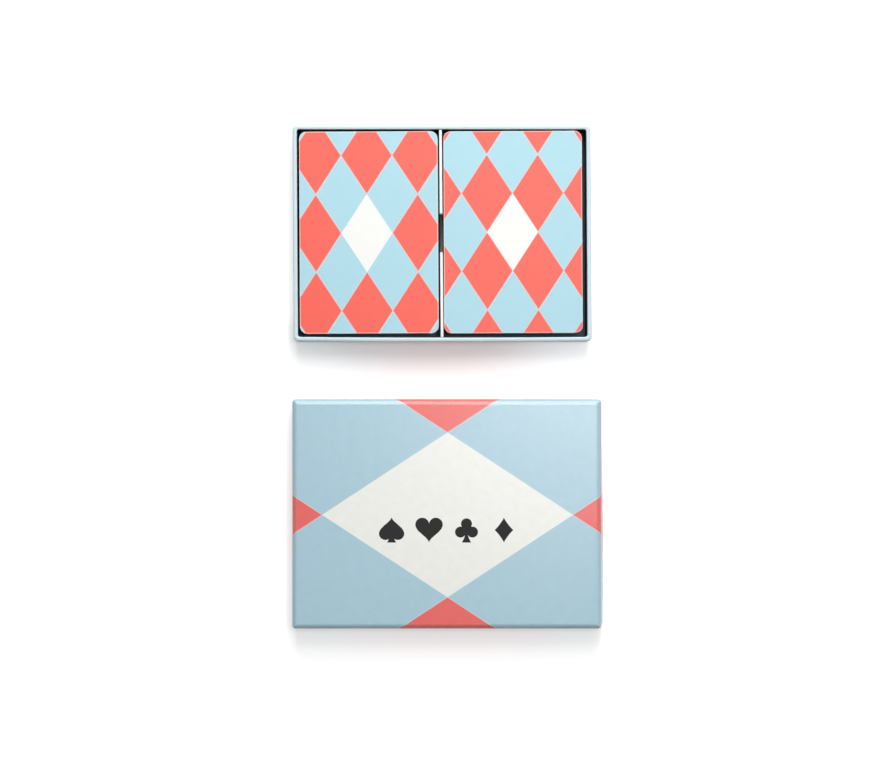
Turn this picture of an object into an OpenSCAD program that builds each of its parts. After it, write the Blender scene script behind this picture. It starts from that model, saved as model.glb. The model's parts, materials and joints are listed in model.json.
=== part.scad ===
// Boxed pair of playing card decks: a board tray with two wells, and its lid set down in front of it.
// Millimetres, +X to the right, +Y away from the viewer, +Z up. The origin is on the table, under the
// middle of the set.

/* [Cards] */
// Width of a card
card_w = 61; // [50:0.5:75]
// Length of a card
card_l = 89; // [75:0.5:110]
// Corner radius of a card
card_r = 3.2; // [1:0.1:8]
// Thickness of a card
card_t = 0.28; // [0.2:0.01:0.5]
// Air between a card and the one under it
card_air = 0.02; // [0.01:0.01:0.1]
// Jokers in a deck
joker_cards = 2; // [1:1:4]

/* [Box stock] */
// Thickness of the greyboard
board_t = 1.5; // [1:0.1:2.5]
// Thickness of the wrapping paper
wrap_t = 0.2; // [0.1:0.05:0.35]
// Thickness of the black liner paper
liner_t = 0.15; // [0.1:0.05:0.4]
// Width of a leg of the gummed corner tape
stay_w = 12; // [6:0.5:20]
// Thickness of the gummed corner tape, which is pressed flush into the board
stay_t = 0.12; // [0.05:0.01:0.3]
// How far the corner tape stops short of the board's edges
stay_inset = 1; // [0.5:0.1:3]

/* [Tray] */
// Gap between a centred deck and the side of its well
well_side_gap = 1.1; // [0.5:0.1:4]
// Gap between a centred deck and the end of its well
well_end_gap = 1.2; // [0.5:0.1:4]
// Radius of the tray's upright corners
tray_corner_r = 2; // [1:0.1:4]
// Radius of the rim's outer edge
rim_r = 0.4; // [0.2:0.05:0.45]
// Height of the top card's underside above the rim
rim_clear = 0.1; // [0.05:0.05:0.3]
// How far the liner stops below the rim
liner_drop = 0.8; // [0.3:0.1:4]

/* [Inserts] */
// Thickness of the white-core card that is folded into a well floor and a divider leaf
insert_t = 0.6; // [0.3:0.05:1]
// Gap between an insert and the liner
insert_fit = 0.15; // [0.05:0.05:0.5]
// How far the divider's top edge lies below the rim
leaf_drop = 0.3; // [0.1:0.1:3]
// Diameter of the round thumb notch in the divider
notch_d = 17.3; // [10:0.1:24]

/* [Lid] */
// Gap between the closed lid and each side of the tray
lid_side_gap = 0.5; // [0.2:0.1:2]
// Gap between the closed lid and each end of the tray
lid_end_gap = 1; // [0.2:0.1:2]
// Headroom over the top cards under the closed lid
lid_head = 0.6; // [0.2:0.1:5]
// Height of tray that shows under the closed lid
lid_reveal = 0.5; // [0.1:0.1:5]
// Radius of the lid's upright corners
lid_corner_r = 2; // [1.8:0.1:4]
// Radius of the edge round the lid's top
lid_edge_r = 1.6; // [0.6:0.1:1.7]

/* [Layout] */
// Gap on the table between the tray and the lid
set_gap = 25.6; // [5:0.1:80]
// Sideways step of the tray from the lid's middle
tray_shift = -2.1; // [-2.2:0.1:2.2]

/* [Hidden] */
$fn = 48;
deck_names = ["left", "right"];
grouped_suits = ["spade", "diamond", "club"];
// Cards of a suit, from the bottom of its packet to the top
ranks = [
    "king", "queen", "jack", "ten", "nine", "eight", "seven", "six", "five", "four", "three", "two", "ace"
];
court_cards = 3;
// Packets of a deck, from the bottom to the top: the hearts lie on top, each card by itself
packet_names = concat(
    ["jokers"],
    [for (suit = grouped_suits, group = ["courts", "numbers"]) str(suit, "_", group)],
    [for (rank = ranks) str("heart_", rank)]
);
box_names = [
    "tray_floor_board", "tray_wall_boards", "tray_corner_stays", "tray_wrap", "tray_liner",
    "left_insert", "right_insert",
    "lid_top_board", "lid_wall_boards", "lid_corner_stays", "lid_wrap", "lid_liner"
];

// How far every cut runs past what it cuts
overrun = 1;
// Gap at a butt joint, a mitre or a fold between two pieces of one sheet
seam = 0.05;

// Cards in each of those packets
packet_counts = concat(
    [joker_cards],
    [for (suit = grouped_suits, count = [court_cards, len(ranks) - court_cards]) count],
    [for (rank = ranks) 1]
);
function first_card(packet) = packet == 0 ? 0 : first_card(packet - 1) + packet_counts[packet - 1];
deck_cards = first_card(len(packet_counts));
card_pitch = card_t + card_air;

// Wells and tray, from the cards outwards
well_w = card_w + 2 * well_side_gap;
tray_in_w = 2 * well_w + 2 * insert_t;
tray_in_l = card_l + 2 * well_end_gap;
hollow_w = tray_in_w + 2 * liner_t;
hollow_l = tray_in_l + 2 * liner_t;
tray_board_in_w = hollow_w + 2 * wrap_t;
tray_board_in_l = hollow_l + 2 * wrap_t;
tray_board_w = tray_board_in_w + 2 * board_t;
tray_board_l = tray_board_in_l + 2 * board_t;
tray_w = tray_board_w + 2 * wrap_t;
tray_l = tray_board_l + 2 * wrap_t;
wall_t = board_t + 2 * wrap_t;
tray_fold = max(tray_corner_r, wall_t);

// Heights in the tray
board_top_z = wrap_t + board_t;
well_floor_z = board_top_z + insert_t;
first_card_z = well_floor_z + card_air;
tray_h = first_card_z + (deck_cards - 1) * card_pitch - rim_clear;
deck_top_z = first_card_z + (deck_cards - 1) * card_pitch + card_t;
leaf_top_z = tray_h - leaf_drop;
tray_walls_h = tray_h - wrap_t - board_top_z;

// Lid, from the tray outwards
lid_in_w = tray_w + 2 * lid_side_gap;
lid_in_l = tray_l + 2 * lid_end_gap;
lid_board_in_w = lid_in_w + 2 * wrap_t;
lid_board_in_l = lid_in_l + 2 * wrap_t;
lid_board_w = lid_board_in_w + 2 * board_t;
lid_board_l = lid_board_in_l + 2 * board_t;
lid_w = lid_board_w + 2 * wrap_t;
lid_l = lid_board_l + 2 * wrap_t;
lid_ceiling_z = deck_top_z + lid_head + liner_t - lid_reveal;
lid_h = lid_ceiling_z + board_t + wrap_t;
lid_walls_h = lid_ceiling_z - wrap_t;
lid_fold = max(lid_corner_r, wall_t);
lid_edge = min(lid_edge_r, board_t + wrap_t / 2);

// Where the two halves lie on the table
set_l = tray_l + set_gap + lid_l;
tray_place = [tray_shift, set_l / 2 - tray_l / 2, 0];
lid_place = [0, lid_l / 2 - set_l / 2, 0];

// Where each deck lies in the play of its well, and how far its cards stray, as shares of that play
deck_side_shares = [-0.15, -0.8];
deck_end_shares = [0.2, 0.35];
stray_share = 0.1;
// Turn of the stray from one card to the next, in degrees
stray_turn = 137.5;

// Rectangle with round corners
module rounded_rect(w, l, r) {
    square([w - 2 * r, l], center = true);
    square([w, l - 2 * r], center = true);
    for (x = [-1, 1], y = [-1, 1])
        translate([x * (w / 2 - r), y * (l / 2 - r)])
            circle(r);
}

// Runs its child once for each side of a rectangle, turned so that the side faces +Y
module each_side(w, l) {
    for (turn = [0 : 3]) {
        $run = turn % 2 == 0 ? w : l;
        $reach = turn % 2 == 0 ? l : w;
        rotate(90 * turn)
            children();
    }
}

// Section through a rounded top edge, from the corner's axis outwards
module edge_section(corner_r, edge_r) {
    square([corner_r - edge_r, edge_r]);
    translate([corner_r - edge_r, 0])
        intersection() {
            circle(edge_r);
            square(2 * edge_r);
        }
}

// Prism with round upright corners and a rounded top edge
module domed_prism(w, l, h, corner_r, edge_r) {
    linear_extrude(h - edge_r)
        rounded_rect(w, l, corner_r);
    translate([0, 0, h - edge_r]) {
        linear_extrude(edge_r)
            square([w - 2 * corner_r, l - 2 * corner_r], center = true);
        each_side(w, l) {
            translate([corner_r - $run / 2, $reach / 2 - corner_r, 0])
                rotate([90, 0, 90])
                    linear_extrude($run - 2 * corner_r)
                        edge_section(corner_r, edge_r);
            translate([$run / 2 - corner_r, $reach / 2 - corner_r, 0])
                rotate_extrude(angle = 90)
                    edge_section(corner_r, edge_r);
        }
    }
}

// Tape round the outside of four upright board corners
module corner_tapes(w, l, h, r) {
    linear_extrude(h)
        intersection() {
            difference() {
                rounded_rect(w, l, r);
                rounded_rect(w - 2 * stay_t, l - 2 * stay_t, r - stay_t);
            }
            for (x = [-1, 1], y = [-1, 1])
                translate([x * (w + overrun - stay_w) / 2, y * (l + overrun - stay_w) / 2])
                    square(stay_w + overrun, center = true);
        }
}

// Four upright boards: two long ones, and two that butt between them
module wall_panels(w, l, in_w, in_l, h, r) {
    linear_extrude(h)
        intersection() {
            rounded_rect(w, l, r);
            union() {
                for (y = [-1, 1])
                    translate([0, y * (in_l + w) / 2])
                        square([w + 2 * overrun, w], center = true);
                for (x = [-1, 1])
                    translate([x * (in_w + l) / 2, 0])
                        square([l, in_l - 2 * seam], center = true);
            }
        }
}

// Parts a folded sheet at its mitres, and keeps what lies within depth of the four sides
module mitred_flaps(w, l, h, depth) {
    intersection() {
        children();
        each_side(w, l)
            translate([0, 0, -overrun])
                linear_extrude(h + 2 * overrun)
                    polygon([
                        [-$run / 2 - overrun + seam, $reach / 2 + overrun],
                        [$run / 2 + overrun - seam, $reach / 2 + overrun],
                        [$run / 2 - depth, $reach / 2 - depth + seam],
                        [depth - $run / 2, $reach / 2 - depth + seam]
                    ]);
    }
}

module tray_floor_board() {
    color("#8F8A80")
        translate(tray_place + [0, 0, wrap_t])
            linear_extrude(board_t)
                rounded_rect(tray_board_w, tray_board_l, tray_corner_r - wrap_t);
}

module tray_tapes() {
    translate(tray_place + [0, 0, board_top_z + stay_inset])
        corner_tapes(tray_board_w, tray_board_l, tray_walls_h - 2 * stay_inset, tray_corner_r - wrap_t);
}

module tray_wall_boards() {
    color("#8F8A80")
        difference() {
            translate(tray_place + [0, 0, board_top_z])
                wall_panels(tray_board_w, tray_board_l, tray_board_in_w, tray_board_in_l,
                    tray_walls_h, tray_corner_r - wrap_t);
            tray_tapes();
        }
}

module tray_corner_stays() {
    color("#C9B48C")
        tray_tapes();
}

// The sheet as folded: under the floor, up the walls, over the rim and down to the floor board
module tray_sheet() {
    difference() {
        domed_prism(tray_w, tray_l, tray_h, tray_corner_r, rim_r);
        translate([0, 0, wrap_t])
            difference() {
                linear_extrude(tray_h - 2 * wrap_t)
                    rounded_rect(tray_board_w, tray_board_l, tray_corner_r - wrap_t);
                translate([0, 0, board_t])
                    linear_extrude(tray_h)
                        square([tray_board_in_w, tray_board_in_l], center = true);
            }
        translate([0, 0, board_top_z])
            linear_extrude(tray_h)
                square([hollow_w, hollow_l], center = true);
    }
}

module tray_wrap() {
    color("#BFE0EB")
        translate(tray_place) {
            linear_extrude(wrap_t)
                square([tray_w - 2 * tray_fold, tray_l - 2 * tray_fold], center = true);
            mitred_flaps(tray_w, tray_l, tray_h, tray_fold)
                tray_sheet();
        }
}

module tray_liner() {
    color("#16181B")
        translate(tray_place + [0, 0, board_top_z])
            linear_extrude(tray_h - liner_drop - board_top_z)
                difference() {
                    square([hollow_w, hollow_l], center = true);
                    square([tray_in_w, tray_in_l], center = true);
                }
}

// Section of an insert: well floor, fold and upright leaf, with the leaf's back at x = 0
module insert_section() {
    translate([insert_fit - tray_in_w / 2, 0])
        square([tray_in_w / 2 - insert_fit - insert_t, insert_t]);
    translate([-insert_t, insert_t])
        square([insert_t, leaf_top_z - board_top_z - insert_t]);
    translate([-insert_t, insert_t])
        intersection() {
            circle(insert_t);
            translate([0, -2 * insert_t])
                square(2 * insert_t);
        }
}

module insert() {
    insert_l = tray_in_l - 2 * insert_fit;
    color("#1B1D20")
        difference() {
            translate([0, insert_l / 2, board_top_z])
                rotate([90, 0, 0])
                    linear_extrude(insert_l)
                        insert_section();
            translate([0, 0, leaf_top_z])
                rotate([0, 90, 0])
                    cylinder(h = 2 * (insert_t + overrun), d = notch_d, center = true);
        }
}

module left_insert() {
    translate(tray_place)
        insert();
}

module right_insert() {
    translate(tray_place)
        mirror([1, 0, 0])
            insert();
}

module lid_top_board() {
    color("#8F8A80")
        translate(lid_place + [0, 0, lid_ceiling_z])
            domed_prism(lid_board_w, lid_board_l, board_t, lid_corner_r - wrap_t, lid_edge - wrap_t);
}

module lid_tapes() {
    translate(lid_place + [0, 0, wrap_t + stay_inset])
        corner_tapes(lid_board_w, lid_board_l, lid_walls_h - 2 * stay_inset, lid_corner_r - wrap_t);
}

module lid_wall_boards() {
    color("#8F8A80")
        difference() {
            translate(lid_place + [0, 0, wrap_t])
                wall_panels(lid_board_w, lid_board_l, lid_board_in_w, lid_board_in_l,
                    lid_walls_h, lid_corner_r - wrap_t);
            lid_tapes();
        }
}

module lid_corner_stays() {
    color("#C9B48C")
        lid_tapes();
}

// The sheet as folded: over the top, down the skirts, round their lower edge and up to the ceiling
module lid_sheet() {
    difference() {
        domed_prism(lid_w, lid_l, lid_h, lid_corner_r, lid_edge);
        difference() {
            translate([0, 0, wrap_t])
                domed_prism(lid_board_w, lid_board_l, lid_h - 2 * wrap_t, lid_corner_r - wrap_t,
                    lid_edge - wrap_t);
            linear_extrude(lid_ceiling_z)
                square([lid_board_in_w, lid_board_in_l], center = true);
        }
        translate([0, 0, -overrun])
            linear_extrude(lid_ceiling_z + overrun)
                square([lid_in_w, lid_in_l], center = true);
    }
}

module lid_wrap() {
    color("#B4D2DE")
        translate(lid_place) {
            translate([0, 0, lid_h - wrap_t])
                linear_extrude(wrap_t)
                    square([lid_w - 2 * lid_fold, lid_l - 2 * lid_fold], center = true);
            mitred_flaps(lid_w, lid_l, lid_h, lid_fold)
                lid_sheet();
        }
}

module lid_liner() {
    color("#16181B")
        translate(lid_place + [0, 0, lid_ceiling_z - liner_t])
            linear_extrude(liner_t)
                square([lid_in_w - 2 * insert_fit, lid_in_l - 2 * insert_fit], center = true);
}

// One card of a deck, counted from the bottom. All but the top card stray a little from the stack.
module card(deck, index) {
    side = 2 * deck - 1;
    loose = index < deck_cards - 1 ? stray_share : 0;
    side_share = deck_side_shares[deck] + loose * sin(stray_turn * index);
    end_share = deck_end_shares[deck] + loose * cos(stray_turn * index);
    translate(tray_place)
        translate([
            side * (insert_t + well_w / 2) + side_share * well_side_gap,
            end_share * well_end_gap,
            first_card_z + index * card_pitch
        ])
            linear_extrude(card_t)
                rounded_rect(card_w, card_l, card_r);
}

// The cards of one packet, which lie on each other without touching
module card_packet(deck, packet) {
    color(deck == 0 ? "#FC7566" : "#BBE4F0")
        for (index = [first_card(packet) : first_card(packet) + packet_counts[packet] - 1])
            card(deck, index);
}

tray_floor_board();
tray_wall_boards();
tray_corner_stays();
tray_wrap();
tray_liner();
left_insert();
right_insert();
lid_top_board();
lid_wall_boards();
lid_corner_stays();
lid_wrap();
lid_liner();
for (deck = [0 : len(deck_names) - 1], packet = [0 : len(packet_names) - 1])
    card_packet(deck, packet);
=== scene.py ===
"""Looks of the boxed pair of card decks: wrapped tray and lid, folded inserts, printed cards. In metres."""
import json
import math

import bpy
import numpy as np
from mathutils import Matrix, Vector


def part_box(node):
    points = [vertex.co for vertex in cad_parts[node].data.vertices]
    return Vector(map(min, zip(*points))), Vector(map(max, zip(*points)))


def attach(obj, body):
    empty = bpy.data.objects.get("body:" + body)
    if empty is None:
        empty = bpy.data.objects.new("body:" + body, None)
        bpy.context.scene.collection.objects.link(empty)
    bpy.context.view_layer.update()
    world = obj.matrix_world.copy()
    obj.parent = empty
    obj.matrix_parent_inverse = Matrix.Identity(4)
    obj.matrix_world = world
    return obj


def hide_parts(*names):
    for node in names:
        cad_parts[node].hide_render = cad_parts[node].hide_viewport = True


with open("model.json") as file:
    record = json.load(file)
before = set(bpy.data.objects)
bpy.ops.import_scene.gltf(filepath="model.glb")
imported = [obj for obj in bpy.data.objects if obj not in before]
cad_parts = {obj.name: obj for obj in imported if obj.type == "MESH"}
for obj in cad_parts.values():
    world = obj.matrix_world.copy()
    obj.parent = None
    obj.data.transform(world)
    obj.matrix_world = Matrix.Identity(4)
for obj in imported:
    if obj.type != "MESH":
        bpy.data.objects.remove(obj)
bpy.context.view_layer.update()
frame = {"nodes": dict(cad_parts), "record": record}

MM = 0.001


def corners(node):
    """Lowest and highest corner of a CAD node at rest, as arrays."""
    low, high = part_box(node)
    return np.array(low), np.array(high)


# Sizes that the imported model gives
tray_low, tray_high = corners("tray_wrap")
lid_low, lid_high = corners("lid_wrap")
liner_low, liner_high = corners("tray_liner")
board_low, board_high = corners("tray_floor_board")
ceiling = corners("lid_top_board")[0][2]
wall = liner_low[0] - tray_low[0]
paper = board_low[2] - tray_low[2]
tray_mid, tray_half = (tray_low + tray_high) / 2, (tray_high - tray_low) / 2
lid_mid, lid_half = (lid_low + lid_high) / 2, (lid_high - lid_low) / 2

# Sizes of the paper work. Thicknesses are those of the part's source, and radii are as they look. A corner
# has a radius outside and a least one further in. A wrapped side is flat from flat_inset inwards and over the
# brow beside its edge. A stretch of a section that is shorter than bend_step is part of a bend, where paper
# wears and a paler colour is painted on, partly as wear and partly as a highlight. The lid's turn-in ends in
# a flap along the ceiling, seat_gap off the liner's plane.
tray_corner_r, tray_least_r = 2.0 * MM, 1.1 * MM
lid_corner_r, lid_least_r = 1.4 * MM, 0.02 * MM
lid_edge_r = 2.5 * MM
ceiling_flap, seat_gap = 2.0 * MM, 0.02 * MM
hem_r = 0.35 * MM
rim_outer_r = 0.95 * MM
rim_inner_r = 0.5 * MM
liner_t = 0.15 * MM
insert_t = 0.6 * MM
leaf_bevel = 0.08 * MM
# Deeper in the notch than this share of its radius, the cut edge is painted grey as shade.
notch_r, notch_shade_share = 8.65 * MM, 0.25
card_r = 3.2 * MM
flat_inset = 6.0 * MM
brow = 0.15 * MM
bend_step = 0.4 * MM
mitre_dent = 0.16 * MM
crease_depth = 0.42 * MM
crease_spread = 0.55  # radians of the corner's turn

# How far the made thing is out of true
rack_push = 0.3 * MM
leaf_lean = 0.1 * MM
leaf_shift = 0.27 * MM
near_bow, bow_power = 0.4 * MM, 6
skirt_flare, flare_power = 1.7 * MM, 8
flare_start, flare_run = 0.1, 0.55  # shares of a sine's half turn along the skirt

# Print. A lozenge has its width and length, and a print's middle is off the middle of its sheet. Linen has
# the pitch of its threads and the height of the emboss.
lid_lozenge, lid_print_middle = (110.4 * MM, 72.5 * MM), (0.3 * MM, -0.3 * MM)
card_lozenge = 22.5 * MM, 34.3 * MM
left_print_middle, right_print_middle = (-0.8 * MM, -0.3 * MM), (-0.2 * MM, 0.0)
lid_linen = 1.6 * MM, 0.015 * MM
card_linen = 1.4 * MM, 0.009 * MM
# The last lid colour and the last tray colour are painted on the folds, partly as wear and partly as a
# painted highlight.
lid_red, lid_blue, lid_white, lid_rub_and_highlight = "#EB6560", "#A9CBD9", "#EFF0EA", "#EDF3F4"
card_red, card_blue, card_white, core_white = "#F85C4B", "#A9D6E3", "#F2F2EE", "#F6F5F0"
tray_blue, tray_rub_and_highlight = "#C8E2EB", "#ECF5F8"


# Shapes


def outline(corner_steps=12, side_steps=24):
    """A walk round a rectangle with round corners, anticlockwise from the end of its right side. A stop has
    its share of the core rectangle's half sides and its bearing, and each stretch between two stops has the
    side that it belongs to: 0 right, 1 far, 2 left and 3 near."""
    quarter = np.linspace(0, np.pi / 2, corner_steps + 1)
    along = np.linspace(0, 1, side_steps + 1)[1:-1, None]
    corner = np.array([(1, 1), (-1, 1), (-1, -1), (1, -1)])
    after = np.roll(corner, -1, axis=0)
    share = np.concatenate([
        np.concatenate([np.repeat(corner[k:k + 1], len(quarter), 0),
                        corner[k] + (after[k] - corner[k]) * along])
        for k in range(4)])
    bearing = np.concatenate([
        np.concatenate([quarter + k * np.pi / 2, np.full(len(along), (k + 1) * np.pi / 2)])
        for k in range(4)])
    onward = np.append(bearing[1:], 2 * np.pi)
    side = np.floor((bearing + onward) / np.pi + 0.5).astype(int) % 4
    return share, bearing, side


share, bearing, side = outline()
way = np.stack([np.cos(bearing), np.sin(bearing)], 1)
stops = len(bearing)
mitre = np.isclose(bearing % (np.pi / 2), np.pi / 4)
no_crease = np.zeros(stops)
far_right_crease = crease_depth * np.clip(1 - np.abs(bearing - np.pi / 4) / crease_spread, 0, 1)


def carry(low, high, corner_r, least_r, profile):
    """Carries a profile round the outline of a box. A profile row is an inset from the box's sides and a
    height. The corner radius shrinks with the inset down to a least one, and then the core rectangle
    shrinks."""
    centre, half = (low + high)[:2] / 2, (high - low)[:2] / 2
    inset, height = np.array(profile).T
    radius = np.maximum(corner_r - inset, least_r)
    core = half - (inset + radius)[:, None]
    plan = centre + share * core[:, None] + way * radius[:, None, None]
    lift = np.broadcast_to(height[:, None, None], plan.shape[:2] + (1,))
    return np.concatenate([plan, lift], 2)


def ring_quads(rings, count, round_again=False):
    """Quads between neighbouring rings of a carried profile, and from the last ring to the first if the
    profile closes on itself."""
    here = np.arange(rings if round_again else rings - 1)
    first = here[:, None] * count + np.arange(count)
    second = ((here + 1) % rings)[:, None] * count + np.arange(count)
    return np.stack([first, np.roll(first, -1, 1), np.roll(second, -1, 1), second], 2).reshape(-1, 4)


def arc(centre, radius, start, end, steps=6):
    """Rows of a profile on a circle, from one angle to another in quarter turns."""
    angle = np.linspace(start, end, steps + 1) * np.pi / 2
    return np.stack([centre[0] + radius * np.cos(angle), centre[1] + radius * np.sin(angle)], 1)


def straight(start, end, steps=8):
    """Rows of a profile on a line, without its two ends."""
    return np.linspace(start, end, steps + 1)[1:-1]


def rack(points):
    """Puts the tray a little out of square. The push to the left grows with the distance towards the far
    wall and with the height. The near wall bows out, most in its middle and at the rim."""
    u, v = ((points - tray_mid) / tray_half)[..., :2].transpose(2, *range(points.ndim - 1))
    up = points[..., 2] / tray_high[2]
    moved = points.copy()
    moved[..., 0] -= rack_push * v * up
    moved[..., 1] -= near_bow * np.clip(1 - u * u, 0, 1) * np.clip(-v, 0, 1) ** bow_power * up
    return moved


def flare(points):
    """Lets the lid's right skirt stand out below. The push grows from the top edge to the hem, towards the
    right skirt, and along the skirt from its far end to its near half."""
    u, v = ((points - lid_mid) / lid_half)[..., :2].transpose(2, *range(points.ndim - 1))
    down = np.clip(1 - points[..., 2] / (lid_high[2] - lid_edge_r), 0, 1)
    along = np.sin(np.pi * (flare_start + flare_run * (1 - v) / 2))
    moved = points.copy()
    moved[..., 0] += skirt_flare * np.clip(u, 0, 2) ** flare_power * along * down
    return moved


def piece(name, body, nodes, points, faces, materials, picks=None, maps=None, marks=None, smooth=35):
    """Puts arrays into one mesh object that rides on a body and stands for CAD nodes. Faces come as lists
    of corners, picks as a material number for each face, maps as UV rows for each face corner and marks as
    a number for each point. An edge that turns by more than smooth, in degrees, stays sharp."""
    mesh = bpy.data.meshes.new(name)
    mesh.from_pydata(np.asarray(points).reshape(-1, 3).tolist(), [], faces)
    for material in materials:
        mesh.materials.append(material)
    if picks is not None:
        mesh.polygons.foreach_set("material_index", np.asarray(picks, dtype=np.int32))
    for title, rows in (maps or {}).items():
        mesh.uv_layers.new(name=title).data.foreach_set("uv", np.asarray(rows, dtype=np.float32).ravel())
    for title, values in (marks or {}).items():
        mark = mesh.attributes.new(title, "FLOAT", "POINT")
        mark.data.foreach_set("value", np.asarray(values, dtype=np.float32).ravel())
    mesh.shade_smooth()
    mesh.set_sharp_from_angle(angle=math.radians(smooth))
    made = bpy.data.objects.new(name, mesh)
    bpy.context.scene.collection.objects.link(made)
    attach(made, body)
    if nodes:
        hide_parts(*nodes)


# Materials


def linear(code):
    """An sRGB hex colour as linear red, green, blue and alpha."""
    level = np.array([int(code[i:i + 2], 16) for i in (1, 3, 5)]) / 255
    return (*np.where(level <= 0.04045, level / 12.92, ((level + 0.055) / 1.055) ** 2.4), 1.0)


def add(tree, kind, links=None, **settings):
    """Adds one node. Settings are its own attributes, and links give each named or numbered input a value
    or another node's output."""
    made = tree.nodes.new("ShaderNode" + kind)
    for name, value in settings.items():
        setattr(made, name, value)
    for socket, value in (links or {}).items():
        if isinstance(value, bpy.types.NodeSocket):
            tree.links.new(value, made.inputs[socket])
        else:
            made.inputs[socket].default_value = value
    return made


def finish(name, **sockets):
    """An empty material with a Principled shader, whose plain sockets are set here."""
    material = bpy.data.materials.new(name)
    material.use_nodes = True
    shader = material.node_tree.nodes["Principled BSDF"]
    for socket, value in sockets.items():
        shader.inputs[socket.replace("_", " ")].default_value = value
    return material, material.node_tree, shader


def mottle(tree, place, colour, size, depth):
    """Varies a colour's brightness in clouds of a given size in metres, by a share of it."""
    cloud = add(tree, "TexNoise", {"Vector": place, "Scale": 1 / size, "Detail": 3.0})
    level = add(tree, "MapRange", {"Value": cloud.outputs[0], "From Min": 0.3, "From Max": 0.7,
                                   "To Min": 1 - depth, "To Max": 1 + depth})
    return add(tree, "VectorMath", {0: colour, "Scale": level.outputs[0]}, operation="SCALE").outputs[0]


def harlequin(tree, place, lozenge, middle, codes, hair=0.3 * MM, hair_share=0.3):
    """Colour of a lozenge print, with a faint hair of paper between two inks. The lozenges' two diagonals
    run along the sheet, so the sum and difference of the two shares of a diagonal, rounded, count lozenges
    along the two slants. The sum of the two counts is even for a lozenge that meets the middle one at a
    vertex and odd for one that meets it along an edge. The middle lozenge, where both counts are zero, is
    bare."""
    shares = add(tree, "Mapping", {"Vector": place, "Location": (*middle, 0), "Scale": (*lozenge, 1)},
                 vector_type="TEXTURE").outputs[0]
    rise = add(tree, "VectorMath", {0: shares, 1: (1, 1, 0)}, operation="DOT_PRODUCT").outputs["Value"]
    fall = add(tree, "VectorMath", {0: shares, 1: (1, -1, 0)}, operation="DOT_PRODUCT").outputs["Value"]
    row = add(tree, "Math", {0: rise}, operation="ROUND").outputs[0]
    column = add(tree, "Math", {0: fall}, operation="ROUND").outputs[0]
    count = add(tree, "Math", {0: row, 1: column}, operation="ADD").outputs[0]
    odd = add(tree, "Math", {0: count, 1: 2.0}, operation="FLOORED_MODULO").outputs[0]
    square = add(tree, "Math", {0: row, 1: row}, operation="MULTIPLY").outputs[0]
    squares = add(tree, "Math", {0: column, 1: column, 2: square}, operation="MULTIPLY_ADD").outputs[0]
    bare = add(tree, "Math", {0: squares, 1: 0.5}, operation="LESS_THAN").outputs[0]
    vertex, edge, plain = (linear(code) for code in codes)
    inked = add(tree, "MixRGB", {"Fac": odd, "Color1": vertex, "Color2": edge}).outputs[0]
    filled = add(tree, "MixRGB", {"Fac": bare, "Color1": inked, "Color2": plain}).outputs[0]
    inside = [add(tree, "Math", {0: slant, 1: 0.5}, operation="PINGPONG").outputs[0]
              for slant in (rise, fall)]
    nearest = add(tree, "Math", {0: inside[0], 1: inside[1]}, operation="MAXIMUM").outputs[0]
    width = hair / 2 * math.hypot(1 / lozenge[0], 1 / lozenge[1])
    faint = add(tree, "MapRange", {"Value": nearest, "From Min": 0.5 - 2 * width, "From Max": 0.5 - width,
                                   "To Max": hair_share}).outputs[0]
    return add(tree, "MixRGB", {"Fac": faint, "Color1": filled, "Color2": plain}).outputs[0]


def linen(tree, shader, place, pitch, height):
    """Embosses crossing threads: the height is the product of a sine along the sheet and a sine across
    it."""
    turns = add(tree, "VectorMath", {0: place, "Scale": 2 * math.pi / pitch}, operation="SCALE").outputs[0]
    waves = add(tree, "VectorMath", {0: turns}, operation="SINE").outputs[0]
    parts = add(tree, "SeparateXYZ", {0: waves})
    weave = add(tree, "Math", {0: parts.outputs[0], 1: parts.outputs[1]}, operation="MULTIPLY").outputs[0]
    bump = add(tree, "Bump", {"Height": weave, "Strength": 1.0, "Distance": height})
    tree.links.new(bump.outputs[0], shader.inputs["Normal"])


def printed_paper():
    """Offset printed wrapping paper with a linen emboss and a satin varnish: soft colours under a faint
    sheen, a fine woven grain, and edges that are smoother where the sheet turns over the board, and painted
    paler there, partly as wear and partly as a highlight."""
    rub_and_highlight_patch, rub_and_highlight_share = 1.111 * MM, 0.15
    material, tree, shader = finish("linen_embossed_offset_printed_paper", IOR=1.55)
    place = add(tree, "UVMap", uv_map="sheet").outputs[0]
    colour = harlequin(tree, place, lid_lozenge, lid_print_middle, (lid_red, lid_blue, lid_white))
    fold_wear_and_highlight = add(tree, "Attribute", attribute_name="fold_wear_and_highlight").outputs["Fac"]
    rub_and_highlight_patches = add(tree, "TexNoise", {"Vector": place, "Scale": 1 / rub_and_highlight_patch, "Detail": 4.0}).outputs[0]
    # The folds are painted paler, partly as wear and partly as a painted highlight.
    pale = add(tree, "Math", {0: fold_wear_and_highlight, 1: rub_and_highlight_patches}, operation="MULTIPLY").outputs[0]
    share_pale = add(tree, "Math", {0: pale, 1: rub_and_highlight_share}, operation="MULTIPLY").outputs[0]
    mixed = add(tree, "MixRGB", {"Fac": share_pale, "Color1": colour,
                                 "Color2": linear(lid_rub_and_highlight)}).outputs[0]
    tree.links.new(mottle(tree, place, mixed, size=4 * MM, depth=0.02), shader.inputs["Base Color"])
    smooth = add(tree, "MapRange", {"Value": fold_wear_and_highlight, "To Min": 0.27, "To Max": 0.22}).outputs[0]
    tree.links.new(smooth, shader.inputs["Roughness"])
    # A linen emboss has threads about 0.5 mm apart. They are drawn 1.6 mm apart, so that they show.
    linen(tree, shader, place, *lid_linen)
    return material


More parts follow.
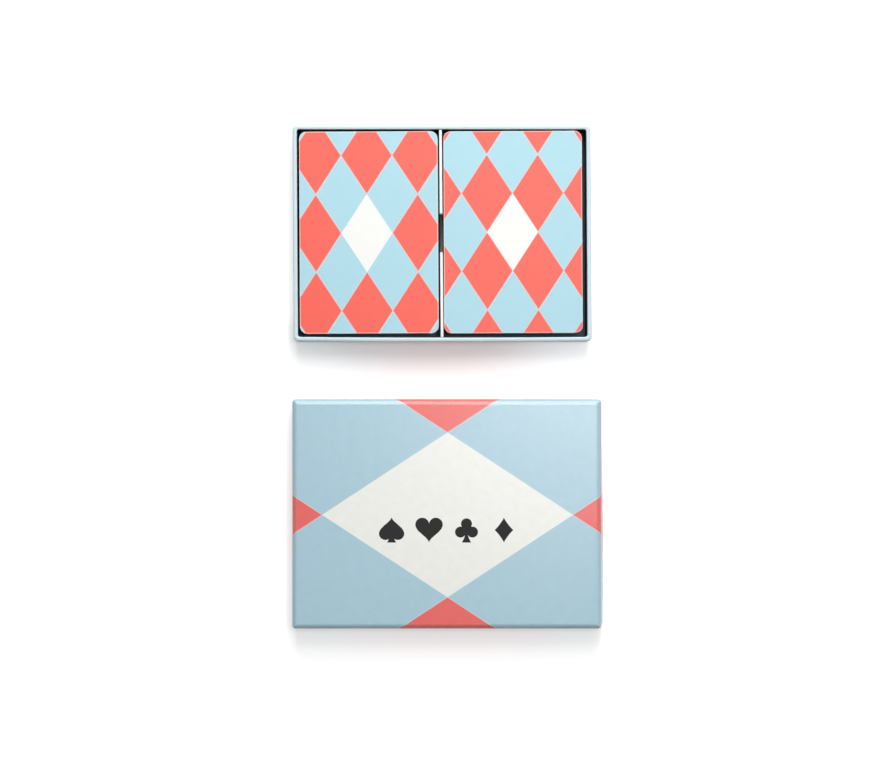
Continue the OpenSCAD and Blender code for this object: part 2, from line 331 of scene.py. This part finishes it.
def tinted_paper():
    """Blue wrapping paper, uncoated and dyed in the pulp: matt and slightly fibrous, and smoother on the
    folds, which are painted paler, partly as wear and partly as a highlight."""
    fibre_size, fibre_height = 0.6 * MM, 0.02 * MM
    material, tree, shader = finish("dyed_uncoated_wrapping_paper", IOR=1.48)
    place = add(tree, "TexCoord").outputs["Object"]
    fold_wear_and_highlight = add(tree, "Attribute", attribute_name="fold_wear_and_highlight").outputs["Fac"]
    fibre = add(tree, "TexNoise", {"Vector": place, "Scale": 1 / fibre_size, "Detail": 5.0}).outputs[0]
    # The folds are painted paler, partly as wear and partly as a painted highlight.
    pale = add(tree, "Math", {0: fold_wear_and_highlight, 1: fibre}, operation="MULTIPLY").outputs[0]
    mixed = add(tree, "MixRGB", {"Fac": pale, "Color1": linear(tray_blue),
                                 "Color2": linear(tray_rub_and_highlight)}).outputs[0]
    tree.links.new(mottle(tree, place, mixed, size=3 * MM, depth=0.015), shader.inputs["Base Color"])
    smooth = add(tree, "MapRange", {"Value": fold_wear_and_highlight, "To Min": 0.65, "To Max": 0.34}).outputs[0]
    tree.links.new(smooth, shader.inputs["Roughness"])
    bump = add(tree, "Bump", {"Height": fibre, "Strength": 0.6, "Distance": fibre_height})
    tree.links.new(bump.outputs[0], shader.inputs["Normal"])
    return material


def plain_stock(name, code, size, depth, roughness, grain):
    """A paper or board with clouds of lighter and darker fibre of a given size, and a grain of a given
    height."""
    material, tree, shader = finish(name, Roughness=roughness, IOR=1.45)
    place = add(tree, "TexCoord").outputs["Object"]
    tree.links.new(mottle(tree, place, linear(code)[:3], size, depth), shader.inputs["Base Color"])
    fibre = add(tree, "TexNoise", {"Vector": place, "Scale": 2 / size, "Detail": 5.0}).outputs[0]
    bump = add(tree, "Bump", {"Height": fibre, "Strength": 0.7, "Distance": grain})
    tree.links.new(bump.outputs[0], shader.inputs["Normal"])
    return material


def card_back(name, codes, middle):
    """Coated card stock, offset printed with lozenges, linen rolled and varnished: clear colours under a
    satin sheen, drawn paler in a hair line along the rounded edge."""
    edge_start, edge_full, edge_share = 0.4 * MM, 0.1 * MM, 0.5
    material, tree, shader = finish(name, Roughness=0.42, IOR=1.48)
    place = add(tree, "UVMap", uv_map="card").outputs[0]
    colour = harlequin(tree, place, card_lozenge, middle, codes)
    core = (card_half[0] - card_r, card_half[1] - card_r, 0)
    outwards = add(tree, "VectorMath", {0: place}, operation="ABSOLUTE").outputs[0]
    beyond = add(tree, "VectorMath", {0: outwards, 1: core}, operation="SUBTRACT").outputs[0]
    kept = add(tree, "VectorMath", {0: beyond, 1: (0, 0, 0)}, operation="MAXIMUM").outputs[0]
    reach = add(tree, "VectorMath", {0: kept}, operation="LENGTH").outputs["Value"]
    # The print turns paler towards the edge, up to half way to core_white.
    hair = add(tree, "MapRange", {"Value": reach, "From Min": card_r - edge_start,
                                  "From Max": card_r - edge_full, "To Max": edge_share}).outputs[0]
    edged = add(tree, "MixRGB", {"Fac": hair, "Color1": colour, "Color2": linear(core_white)}).outputs[0]
    tree.links.new(mottle(tree, place, edged, size=5 * MM, depth=0.012), shader.inputs["Base Color"])
    # Card linen has threads about 0.4 mm apart. They are drawn 1.4 mm apart, so that they show.
    linen(tree, shader, place, *card_linen)
    return material


def card_edge():
    """Die-cut edge of a stack of card stock: white core with a faint grey line from card to card."""
    material, tree, shader = finish("die_cut_card_stock_edge", Roughness=0.7, IOR=1.45)
    place = add(tree, "TexCoord").outputs["Object"]
    height = add(tree, "SeparateXYZ", {0: place}).outputs[2]
    number = add(tree, "Math", {0: height, 1: card_pitch}, operation="DIVIDE").outputs[0]
    whole = add(tree, "Math", {0: number}, operation="FLOOR").outputs[0]
    chance = add(tree, "TexWhiteNoise", {"W": whole}, noise_dimensions="1D").outputs["Value"]
    dull, bright = linear("#DAD8D0"), linear("#F7F6F1")
    colour = add(tree, "MixRGB", {"Fac": chance, "Color1": dull, "Color2": bright}).outputs[0]
    tree.links.new(mottle(tree, place, colour, size=1.5 * MM, depth=0.03), shader.inputs["Base Color"])
    return material


# Pips


def heart(points=48):
    """A heart about one high: the width is the cube of a sine, and the height is a cosine less three higher
    ones."""
    t = np.linspace(0, 2 * np.pi, points, endpoint=False)
    y = 13 * np.cos(t) - 5 * np.cos(2 * t) - 2 * np.cos(3 * t) - np.cos(4 * t)
    return np.stack([16 * np.sin(t) ** 3, y + 2.5], 1)[::-1] / 29


def lozenge_pip(points=32):
    """A diamond with slightly hollow sides: cosine and sine, each to a power above two."""
    t = np.linspace(0, 2 * np.pi, points, endpoint=False)
    bend = [np.sign(f) * np.abs(f) ** 2.3 for f in (np.cos(t), np.sin(t))]
    return np.stack([0.38 * bend[0], 0.5 * bend[1]], 1)


def stem(points=10):
    """The flared foot under a spade or club: its half width grows with the square of the way down."""
    down = np.linspace(0, 1, points)
    half = 0.035 + 0.15 * down ** 2
    edge = np.stack([half, -0.5 * down], 1)
    return np.concatenate([edge * (-1, 1), edge[::-1]])


def lobe(centre, radius, points=28):
    """A round lobe of a club."""
    t = np.linspace(0, 2 * np.pi, points, endpoint=False)
    return np.array(centre) + radius * np.stack([np.cos(t), np.sin(t)], 1)


def star(rays=5):
    """A star: a circle whose radius alternates between a ray's tip and the notch beside it."""
    t = np.pi / 2 + np.arange(2 * rays) * np.pi / rays
    radius = np.where(np.arange(2 * rays) % 2, 0.21, 0.5)[:, None]
    return radius * np.stack([np.cos(t), np.sin(t)], 1)


pip_shapes = {
    "spade": [heart() * (0.92, -0.92) + (0, 0.06), stem()],
    "heart": [heart()],
    "club": [lobe((0, 0.25), 0.22), lobe((-0.24, -0.08), 0.22), lobe((0.24, -0.08), 0.22),
             lobe((0, 0.03), 0.12), stem()],
    "diamond": [lozenge_pip()],
    "star": [star()],
}
ink_t = 0.012 * MM
ink_layer, ink_sunk = 0.12, 0.3  # shares of the ink's thickness
# Offset ink is a thin flat colour, a little uneven where the sheet took less of it.
dark_ink = plain_stock("offset_printed_dark_ink", "#101012", size=0.8 * MM, depth=0.15, roughness=0.6,
                       grain=0.004 * MM)
red_ink = plain_stock("offset_printed_red_ink", "#D6402F", size=0.8 * MM, depth=0.1, roughness=0.5,
                      grain=0.004 * MM)


def pip_plates(spots, way_up):
    """Printed pips as thin closed plates that start just under a face. A spot is a suit, a middle and a
    height, which is negative for a pip that stands on its head, and way_up is -1 for a face that looks
    down. Gives the points' places on the face, their heights as shares of the ink's thickness, and the
    faces. The plates of a pip differ in thickness, so that no two share a plane."""
    plans, levels, faces, start = [], [], [], 0
    for suit, middle, size in spots:
        for layer, ring in enumerate(pip_shapes[suit]):
            flat = np.asarray(middle) + size * ring
            area = (flat[:, 0] * np.roll(flat[:, 1], -1) - flat[:, 1] * np.roll(flat[:, 0], -1)).sum()
            flat = flat if area * way_up > 0 else flat[::-1]
            count = len(flat)
            plans += [flat, flat]
            levels += [np.full(count, 1 - ink_layer * layer), np.full(count, -ink_sunk)]
            upper = start + np.arange(count)
            lower = upper + count
            faces += [upper.tolist(), lower[::-1].tolist()]
            faces += np.stack([upper, lower, np.roll(lower, -1), np.roll(upper, -1)], 1).tolist()
            start += 2 * count
    return np.concatenate(plans), np.concatenate(levels), faces


# Cards

ace_low, ace_high = corners("left_heart_ace")
card_half = (ace_high - ace_low)[:2] / 2
card_t = (ace_high - ace_low)[2]
first_z = corners("left_jokers")[0][2]
deck_cards = 54
card_pitch = (ace_low[2] - first_z) / (deck_cards - 1)
stray = np.array([0.11, 0.12]) * MM
stray_turn = math.radians(137.5)
top_arch = 0.25 * MM
deck_turn = {"left": math.radians(0.35), "right": math.radians(0.3)}
turn_play = {"left": math.radians(0.12), "right": math.radians(0.04)}
play_step = 2.4  # radians from one card to the next


def card_grid(corner_stops=8, side_stops=10, row_stops=9):
    """A card's plan as a grid of columns and rows. A column's half length follows the round corners, so
    that it is the full half length between them and the straight part of the side at the ends."""
    turn = np.linspace(0, np.pi / 2, corner_stops)
    right = card_half[0] - card_r + card_r * np.sin(turn)
    reach = card_half[1] - card_r + card_r * np.cos(turn)
    inner = np.linspace(-right[0], right[0], side_stops)[1:-1]
    x = np.concatenate([-right[::-1], inner, right])
    y = np.concatenate([reach[::-1], np.full(len(inner), card_half[1]), reach])
    rows = np.linspace(-1, 1, row_stops)
    return np.stack([np.repeat(x[:, None], len(rows), 1), y[:, None] * rows], 2)


def card_faces(columns, rows):
    """Faces of one card: a sheet of quads above, one below, and a band of quads round the edge. Gives the
    faces and for each one 0 for the back, 1 for the edge and 2 for the face."""
    top = np.arange(columns * rows).reshape(columns, rows)
    under = top + columns * rows
    over = np.stack([top[:-1, :-1], top[1:, :-1], top[1:, 1:], top[:-1, 1:]], 2).reshape(-1, 4)
    below = np.stack([under[:-1, :-1], under[:-1, 1:], under[1:, 1:], under[1:, :-1]], 2).reshape(-1, 4)
    rim = np.concatenate([top[:-1, 0], top[-1, :-1], top[:0:-1, -1], top[0, :0:-1]])
    base = rim + columns * rows
    band = np.stack([rim, base, np.roll(base, -1), np.roll(rim, -1)], 1)
    faces = np.concatenate([over, below, band])
    return faces, np.repeat([0, 2, 1], [len(over), len(below), len(band)])


plan = card_grid()
sheet_faces, sheet_picks = card_faces(*plan.shape[:2])

# Pips in each side column of a number card, and the places of those in its middle column
pip_columns = {"ace": (0, [0]), "two": (0, [1, -1]), "three": (0, [1, 0, -1]), "four": (2, []),
               "five": (2, [0]), "six": (3, []), "seven": (3, [0.5]), "eight": (3, [0.5, -0.5]),
               "nine": (4, [0]), "ten": (4, [0.67, -0.67])}
column_x, column_y = 13.5 * MM, 29 * MM
index_x, index_y = 23.5 * MM, 37.5 * MM
small_pip, pip, court_pip, large_pip = 5.5 * MM, 10 * MM, 20 * MM, 24 * MM


def face_print(node):
    """Pips on the face of a node's lowest card, the only face that can show. A number card has its count in
    columns, a court card two large pips, an ace or a joker one, and each has a small one in two corners.
    Pips in the lower half stand on their heads."""
    words = node.split("_")
    suit, rank = ("star", "ace") if "jokers" in words else words[1:]
    rank = "ten" if rank == "numbers" else rank
    if rank in pip_columns:
        rows, middles = pip_columns[rank]
        places = [(x, y) for x in (-1, 1) for y in np.linspace(1, -1, rows)] + [(0, y) for y in middles]
        size = large_pip if rank == "ace" else pip
    else:
        places, size = [(0, 0.45), (0, -0.45)], court_pip
    spots = [(suit, (x * column_x, y * column_y), -size if y < -0.01 else size) for x, y in places]
    return spots + [(suit, (index_x, index_y), small_pip), (suit, (-index_x, -index_y), -small_pip)]


def packet(node, body, deck, materials):
    """The cards of one CAD node. Each lies at its own height, strays a hair's breadth round the deck's
    middle by the golden angle, and turns with the deck, more the higher it lies. The upper cards arch up
    along their length, so that the top card still slides off sideways."""
    low, high = corners(node)
    first = round((low[2] - first_z) / card_pitch)
    count = round((high[2] - low[2] + card_pitch - card_t) / card_pitch)
    index = np.arange(first, first + count)
    ace = sum(corners(deck + "_heart_ace")) / 2
    loose = np.where(index < deck_cards - 1, 1, 0)[:, None]
    middle = ace[:2] + loose * stray * np.stack([np.sin(stray_turn * index), np.cos(stray_turn * index)], 1)
    rise = index / (deck_cards - 1)
    turn = (deck_turn[deck] + turn_play[deck] * loose[:, 0] * np.sin(play_step * index)) * rise
    spin = np.stack([np.cos(turn), -np.sin(turn), np.sin(turn), np.cos(turn)], 1).reshape(-1, 2, 2)
    flat = np.einsum("kij,crj->kcri", spin, plan) + middle[:, None, None]
    arch = top_arch * rise ** 3
    bow = arch[:, None, None] * (1 - (plan[..., 1] / card_half[1]) ** 2)
    bottom = first_z + card_pitch * index[:, None, None] + bow
    layers = [np.concatenate([flat, z[..., None]], 3).reshape(count, -1, 3)
              for z in (bottom + card_t, bottom)]
    points = np.concatenate(layers, 1)
    faces = (sheet_faces + (np.arange(count) * points.shape[1])[:, None, None]).reshape(-1, 4)
    ink_plan, ink_level, ink_faces = pip_plates(face_print(node), -1)
    under = first_z + card_pitch * first + arch[0] * (1 - (ink_plan[:, 1] / card_half[1]) ** 2)
    ink = np.column_stack([ink_plan @ spin[0].T + middle[0], under - ink_t * ink_level])
    before = points.shape[0] * points.shape[1]
    all_faces = faces.tolist() + [[before + corner for corner in face] for face in ink_faces]
    place = np.concatenate([np.tile(plan.reshape(-1, 2), (2 * count, 1)), ink_plan])
    picks = np.concatenate([np.tile(sheet_picks, count), np.full(len(ink_faces), 3)])
    piece(node + "_cards", body, [node], np.concatenate([points.reshape(-1, 3), ink]),
          all_faces, materials, picks, {"card": place[np.concatenate(all_faces)]}, smooth=25)


red_back = card_back("linen_card_back_red_first", (card_red, card_blue, card_white), left_print_middle)
blue_back = card_back("linen_card_back_blue_first", (card_blue, card_red, card_white), right_print_middle)
stock_edge = card_edge()
# A card's face is smooth and white under the same varnish as its back.
stock_face = plain_stock("varnished_card_face", core_white, size=2 * MM, depth=0.01, roughness=0.42,
                         grain=0.004 * MM)
for body, nodes in frame["record"]["behaviour"]["bodies"].items():
    deck = body.split("_")[0]
    if deck in deck_turn:
        for node in nodes:
            ink = red_ink if "heart" in node or "diamond" in node else dark_ink
            packet(node, body, deck, [red_back if deck == "left" else blue_back, stock_edge, stock_face, ink])


# Lid and tray

blue_paper = tinted_paper()
print_paper = printed_paper()
# Dyed liner paper is dull and uneven. The facing on card is smoother, and is drawn lighter and bluer than
# black:
# a painted reflection of the blue walls around it. A cut edge shows the bright core, the notch's edge is
# painted grey as shade, and greyboard is coarse.
black_paper = plain_stock("pulp_dyed_black_liner_paper", "#2C323A", size=1.2 * MM, depth=0.12, roughness=0.7,
                          grain=0.02 * MM)
# The black facing is drawn mid blue grey: a painted reflection of the blue walls in the gaps.
black_card_painted_blue_reflection = plain_stock("black_facing_painted_blue_reflection", "#466478", size=1.2 * MM, depth=0.1, roughness=0.6,
                         grain=0.01 * MM)
white_core = plain_stock("cut_edge_of_white_core_card", "#F4F7F9", size=0.5 * MM, depth=0.04, roughness=0.85,
                         grain=0.02 * MM)
# The notch's cut edge is painted mid grey as the shade between the card stacks.
notch_painted_shade = plain_stock("grey_painted_shade_in_notch", "#6B7073", size=0.5 * MM, depth=0.08,
                         roughness=0.8, grain=0.02 * MM)
greyboard = plain_stock("grey_recycled_board", "#8F8A80", size=1.0 * MM, depth=0.15, roughness=0.9,
                        grain=0.03 * MM)


def lid_profile(edge_steps=12, hem_steps=4):
    """Section of the lid's sheet from the flat of the top outwards: round the top edge, down the skirt,
    round the hem, up inside and a little way along the ceiling, then back along the board one paper
    thickness deeper."""
    top, deep, seat = lid_high[2], wall - paper, ceiling + seat_gap
    edge = lid_edge_r, top - lid_edge_r
    outer = [
        [[flat_inset, top], [lid_edge_r + brow, top]],
        arc(edge, lid_edge_r, 1, 2, edge_steps),
        straight((0, top - lid_edge_r), (0, hem_r)),
        arc((hem_r, hem_r), hem_r, 2, 3, hem_steps),
        arc((wall - hem_r, hem_r), hem_r, 3, 4, hem_steps),
        straight((wall, hem_r), (wall, seat)),
        [[wall, seat], [wall + ceiling_flap, seat]],
    ]
    inner = [
        [[wall + ceiling_flap, seat + paper], [deep, seat + paper]],
        straight((deep, seat + paper), (deep, paper)),
        [[deep, paper], [paper, paper]],
        straight((paper, paper), (paper, top - lid_edge_r)),
        arc(edge, lid_edge_r - paper, 2, 1, edge_steps),
        [[flat_inset, top - paper]],
    ]
    return np.concatenate(outer), np.concatenate(inner)


def tray_profile(hem_steps=4):
    """Section of the tray's sheet from the flat of the base outwards: round the foot, up the wall, over the
    rim and down inside to the floor board, then back along the board one paper thickness deeper."""
    top, deep, floor = tray_high[2], wall - paper, board_high[2]
    rim_out = rim_outer_r, top - rim_outer_r
    rim_in = wall - rim_inner_r, top - rim_inner_r
    outer = [
        [[flat_inset, 0], [hem_r + brow, 0]],
        arc((hem_r, hem_r), hem_r, 3, 2, hem_steps),
        straight((0, hem_r), (0, top - rim_outer_r)),
        arc(rim_out, rim_outer_r, 2, 1),
        arc(rim_in, rim_inner_r, 1, 0),
        straight((wall, top - rim_inner_r), (wall, floor)),
        [[wall, floor]],
    ]
    inner = [
        [[deep, floor]],
        straight((deep, floor), (deep, top - rim_inner_r)),
        arc(rim_in, rim_inner_r - paper, 0, 1),
        arc(rim_out, rim_outer_r - paper, 1, 2),
        straight((paper, top - rim_outer_r), (paper, paper)),
        [[paper, paper], [flat_inset, paper]],
    ]
    return np.concatenate(outer), np.concatenate(inner)


def sheet_map(low, high, corner_r, profile, points, quads):
    """Where a folded sheet's points lie on the flat sheet, for each face corner. On the flat that is the
    plan. Beyond it a point lies as far out from the flat's edge as the profile is long, and as far along
    its side as the outline is long."""
    half = (high - low)[:2] / 2
    step = np.linalg.norm(np.diff(profile, axis=0), axis=1)
    out = np.concatenate([[0], np.cumsum(step)]) - flat_inset
    facing = side * np.pi / 2
    normal = np.stack([np.cos(facing), np.sin(facing)], 1)
    along = np.stack([-np.sin(facing), np.cos(facing)], 1)
    reach = np.abs(normal @ half)
    core = share * (half - corner_r)
    onward = np.append(bearing[1:], 2 * np.pi)
    run = []
    for place, aim in ((core, bearing), (np.roll(core, -1, 0), onward)):
        turned = (aim - facing + np.pi) % (2 * np.pi) - np.pi
        run.append(((place * along).sum(1) + corner_r * turned)[None, :, None] * along)
    ahead = (reach + out[:, None])[..., None] * normal
    folded = np.stack([ahead[:-1] + run[0], ahead[:-1] + run[1], ahead[1:] + run[1], ahead[1:] + run[0]], 2)
    plan_rows = (points.reshape(-1, 3)[quads] - (low + high) / 2)[..., :2].reshape(folded.shape)
    folded[:2] = plan_rows[:2]
    return folded.reshape(-1, 2)


def wrap(name, body, nodes, low, high, corner_r, least_r, profiles, crease, bend, material, mapped):
    """A folded sheet as one closed mesh: the carried profile, a polygon over the flat of each of its two
    sides, and a dent along the mitre at each corner. A crease lowers the upper edge by its own depth at
    each stop."""
    outer, inner = profiles
    profile = np.concatenate([outer, inner])
    points = carry(low, high, corner_r, least_r, profile)
    seen = np.arange(len(profile)) < len(outer)
    outside = seen & (profile[:, 0] < wall / 2)
    points[..., :2] -= way * (mitre * mitre_dent)[:, None] * outside[:, None, None]
    turn = np.linalg.norm(np.diff(profile, axis=0), axis=1)
    bends = np.append(turn, 1) < bend_step
    fold_wear_and_highlight = bends & np.roll(bends, 1) & seen
    points[..., 2] -= crease * (fold_wear_and_highlight & (profile[:, 1] > high[2] / 2))[:, None]
    quads = ring_quads(len(profile), stops)
    caps = np.arange(stops), np.arange(stops) + (len(profile) - 1) * stops
    rising = profile[0, 1] > profile[-1, 1]
    if rising:
        quads = quads[:, ::-1]
        faces = quads.tolist() + [caps[0].tolist(), caps[1][::-1].tolist()]
    else:
        faces = quads.tolist() + [caps[0][::-1].tolist(), caps[1].tolist()]
    maps = None
    if mapped:
        rows = sheet_map(low, high, corner_r, profile, points, quads[:, ::-1])
        rows = rows.reshape(-1, 4, 2)[:, ::-1].reshape(-1, 2)
        flat = [(points.reshape(-1, 3)[face] - (low + high) / 2)[:, :2] for face in faces[-2:]]
        maps = {"sheet": np.concatenate([rows, *flat])}
    marks = {"fold_wear_and_highlight": np.repeat(fold_wear_and_highlight[:, None], stops, 1)}
    piece(name, body, nodes, bend(points), faces, [material], None, maps, marks)


wrap("lid_wrapped_shell", "lid", ["lid_wrap", "lid_wall_boards", "lid_corner_stays", "lid_top_board"],
     lid_low, lid_high, lid_corner_r, lid_least_r, lid_profile(), far_right_crease,
     flare, print_paper, mapped=True)
wrap("tray_wrapped_shell", "tray", ["tray_wrap", "tray_wall_boards", "tray_corner_stays"],
     tray_low, tray_high, tray_corner_r, tray_least_r, tray_profile(), no_crease,
     rack, blue_paper, mapped=False)

liner_ring = np.array([[wall, board_high[2]], [wall + liner_t, board_high[2]],
                       [wall + liner_t, liner_high[2]], [wall, liner_high[2]]])
piece("tray_black_liner", "tray", ["tray_liner"],
      rack(carry(tray_low, tray_high, tray_corner_r, tray_least_r, liner_ring)),
      ring_quads(4, stops, True)[:, ::-1].tolist(), [black_paper])


def insert(deck, hand, notch_stops=33, side_stops=14, fold_stops=5):
    """A folded insert as a profile carried along the tray. The section runs from the well floor's outer
    edge along the floor, up the leaf's front, over its cut edge and down its back to the fold. The leaf's
    top follows the round notch, and a column of the grid stands at each stop along the tray. The leaf leans
    to the left, more the higher and the further towards the far wall. Cut edges show the core, and deep in
    the notch they are painted mid grey as the shade between the card stacks."""
    low, high = corners(deck + "_insert")
    back, foot, top = (high[0] if hand < 0 else low[0]), low[2], high[2]
    outer = low[0] if hand < 0 else high[0]
    middle = (low[1] + high[1]) / 2
    swing = notch_r * np.sin(np.linspace(-np.pi / 2, np.pi / 2, notch_stops))
    y = np.concatenate([np.linspace(low[1], middle - notch_r, side_stops)[:-1], middle + swing,
                        np.linspace(middle + notch_r, high[1], side_stops)[1:]])
    dip = np.sqrt(np.clip(notch_r ** 2 - (y - middle) ** 2, 0, None))
    crest = top - dip
    front = back + hand * insert_t
    floor = foot + insert_t
    share_up = np.array([0, 0.33, 0.67, 1])
    rise = floor + leaf_bevel + share_up * (crest - leaf_bevel - floor - leaf_bevel)[:, None]
    fall = crest[:, None] - leaf_bevel - share_up * (crest - leaf_bevel - floor)[:, None]
    bend = np.linspace(0, np.pi / 2, fold_stops)[1:]
    same, bevel = np.ones((len(y), 1)), hand * leaf_bevel
    leaf = np.ones((len(y), len(share_up)))
    x = np.concatenate([same * outer, same * outer, same * (front + bevel), leaf * front,
                        same * (front - bevel), same * (back + bevel), leaf * back,
                        same * (back + hand * insert_t * (1 - np.cos(bend)))], 1)
    z = np.concatenate([same * foot, same * floor, same * floor, rise, crest[:, None], crest[:, None], fall,
                        same * (foot + insert_t * (1 - np.sin(bend)))], 1)
    count = x.shape[1]
    points = np.stack([x, np.repeat(y[:, None], count, 1), z], 2)
    lean = leaf_shift + leaf_lean * (1 + (points[..., 1] - tray_mid[1]) / tray_half[1])
    points[..., 0] -= lean * (z - foot) / (top - foot)
    quads = ring_quads(len(y), count)
    ends = [np.arange(count), np.arange(count) + (len(y) - 1) * count]
    # Stretches of the section that are cut: the floor's outer edge, and the leaf's top with its two bevels
    core = np.isin(np.arange(count), (0, 6, 7, 8))
    # Where the notch is deep, its cut edge takes the grey painted shade.
    notch_shaded = np.minimum(dip[:-1], dip[1:]) > notch_shade_share * notch_r
    picks = np.concatenate([(core * (1 + notch_shaded[:, None])).ravel(), [1, 1]])
    if hand > 0:
        faces = quads[:, ::-1].tolist() + [ends[0].tolist(), ends[1][::-1].tolist()]
    else:
        faces = quads.tolist() + [ends[0][::-1].tolist(), ends[1].tolist()]
    piece(deck + "_folded_insert", "tray", [deck + "_insert"], rack(points), faces,
          [black_card_painted_blue_reflection, white_core, notch_painted_shade], picks)


insert("left", -1)
insert("right", 1)
for node, material in (("tray_floor_board", greyboard), ("lid_liner", black_paper)):
    shown = frame["nodes"][node]
    shown.data.materials.clear()
    shown.data.materials.append(material)


# Print on the lid

row_shift, row_step, row_drop, lid_pip = 0.4 * MM, 16.5 * MM, 7.0 * MM, 11 * MM
row = [(suit, (lid_mid[0] + row_shift + row_step * (k - 1.5), lid_mid[1] - row_drop), lid_pip)
       for k, suit in enumerate(("spade", "heart", "club", "diamond"))]
ink_plan, ink_level, ink_faces = pip_plates(row, 1)
piece("lid_suit_pips", "lid", [],
      np.column_stack([ink_plan, lid_high[2] + ink_t * ink_level]), ink_faces, [dark_ink])


# Floor, light and camera


def white_floor():
    """A white table top. What the camera sees of it is lifted to white, more so further out and least in
    front of the tray, so that it keeps the object's shadow and the tray's is the deepest. It throws less
    light back up than it shows, as a table beyond the lamps' reach would."""
    mesh = bpy.data.meshes.new("table_top")
    reach, drop = 4.0, 0.02 * MM
    mesh.from_pydata([(x * reach, y * reach, -drop) for x, y in ((-1, -1), (1, -1), (1, 1), (-1, 1))], [],
                     [(0, 1, 2, 3)])
    floor = bpy.data.objects.new("table_top", mesh)
    bpy.context.scene.collection.objects.link(floor)
    material, tree, shader = finish("white_painted_table", Roughness=0.9, Specular_IOR_Level=0.0)
    path = add(tree, "LightPath").outputs
    shown = add(tree, "Math", {0: path["Is Camera Ray"], 1: path["Is Glossy Ray"]},
                operation="MAXIMUM").outputs[0]
    thrown_grey, shown_grey = (0.45, 0.45, 0.45, 1), (0.8, 0.8, 0.8, 1)
    tint = add(tree, "MixRGB", {"Fac": shown, "Color1": thrown_grey, "Color2": shown_grey}).outputs[0]
    tree.links.new(tint, shader.inputs["Base Color"])
    place = add(tree, "TexCoord").outputs["Object"]
    away = add(tree, "VectorMath", {0: place}, operation="LENGTH").outputs["Value"]
    outer = add(tree, "MapRange", {"Value": away, "From Min": 0.25, "From Max": 1.0,
                                   "To Max": 0.5}).outputs[0]
    tray_front, strip_stretch = (-0.012, 0.015, 0), (4, 1, 1)
    strip = add(tree, "Mapping", {"Vector": place, "Location": tray_front, "Scale": strip_stretch},
                vector_type="TEXTURE").outputs[0]
    aside = add(tree, "VectorMath", {0: strip}, operation="LENGTH").outputs["Value"]
    lift = add(tree, "MapRange", {"Value": aside, "From Min": 0.006, "From Max": 0.022, "To Min": 0.24,
                                  "To Max": 0.5}, interpolation_type="SMOOTHSTEP").outputs[0]
    total = add(tree, "Math", {0: outer, 1: lift}, operation="ADD").outputs[0]
    lifted = add(tree, "Math", {0: shown, 1: total}, operation="MULTIPLY").outputs[0]
    shader.inputs["Emission Color"].default_value = (1, 1, 1, 1)
    tree.links.new(lifted, shader.inputs["Emission Strength"])
    mesh.materials.append(material)


def lamp(name, place, aim, size, watts):
    """A softbox of a width and a height at a place, facing a point."""
    data = bpy.data.lights.new(name, "AREA")
    data.shape, data.energy = "RECTANGLE", watts
    data.size, data.size_y = size
    made = bpy.data.objects.new(name, data)
    bpy.context.scene.collection.objects.link(made)
    made.location = place
    towards = np.array(aim) - np.array(place)
    made.rotation_euler = (math.acos(-towards[2] / np.linalg.norm(towards)), 0,
                           math.atan2(towards[1], towards[0]) - math.pi / 2)


def white_room(dark, light):
    """Soft white light from all round, stronger from the far right than from the near left. The camera sees
    white."""
    world = bpy.data.worlds.new("white_room")
    bpy.context.scene.world = world
    world.use_nodes = True
    tree = world.node_tree
    sky = tree.nodes["Background"]
    sky.inputs["Color"].default_value = (1, 1, 1, 1)
    path = add(tree, "LightPath").outputs
    towards, far_right = add(tree, "TexCoord").outputs["Generated"], (0.66, 0.75, 0)
    side_on = add(tree, "VectorMath", {0: towards, 1: far_right}, operation="DOT_PRODUCT").outputs["Value"]
    soft = add(tree, "MapRange", {"Value": side_on, "From Min": -1.0, "From Max": 1.0, "To Min": dark,
                                  "To Max": light}).outputs[0]
    level = add(tree, "MixRGB", {"Fac": path["Is Camera Ray"], "Color1": soft,
                                 "Color2": (1, 1, 1, 1)}).outputs[0]
    tree.links.new(level, sky.inputs["Strength"])


white_floor()
white_room(dark=0.0, light=0.45)
lamp("far_softbox", place=(0.02, 0.62, 0.85), aim=(0.0, 0.0, 0.0), size=(0.42, 0.7), watts=5.4)
lamp("far_low_softbox", place=(0.06, 0.95, 0.38), aim=(0.0, 0.0, 0.0), size=(0.5, 0.35), watts=3.0)
lamp("overhead_softbox", place=(0.1, 0.34, 1.0), aim=(0.0, 0.05, 0.0), size=(0.35, 0.35), watts=1.4)
lamp("small_right_softbox", place=(0.134, 0.05, 1.1), aim=(0.05, -0.03, 0.0), size=(0.14, 0.14), watts=2.2)

# The photograph looks straight down. A card's top lies at 0.4413 mm to a pixel of an image 896 pixels wide.
camera_x, camera_y, camera_height = 0.5 * MM, -3.2 * MM, 1.2
sensor_width = 36.0
pixels_wide, pixel_size = 896, 0.4413 * MM
camera = bpy.data.objects.new("overhead_camera", bpy.data.cameras.new("overhead_camera"))
bpy.context.scene.collection.objects.link(camera)
camera.data.sensor_width = sensor_width
camera.data.lens = sensor_width * (camera_height - ace_high[2]) / (pixel_size * pixels_wide)
camera.data.clip_end = 20.0
camera.location = (camera_x, camera_y, camera_height)
bpy.context.scene.camera = camera
bpy.context.scene.view_settings.view_transform = "Standard"
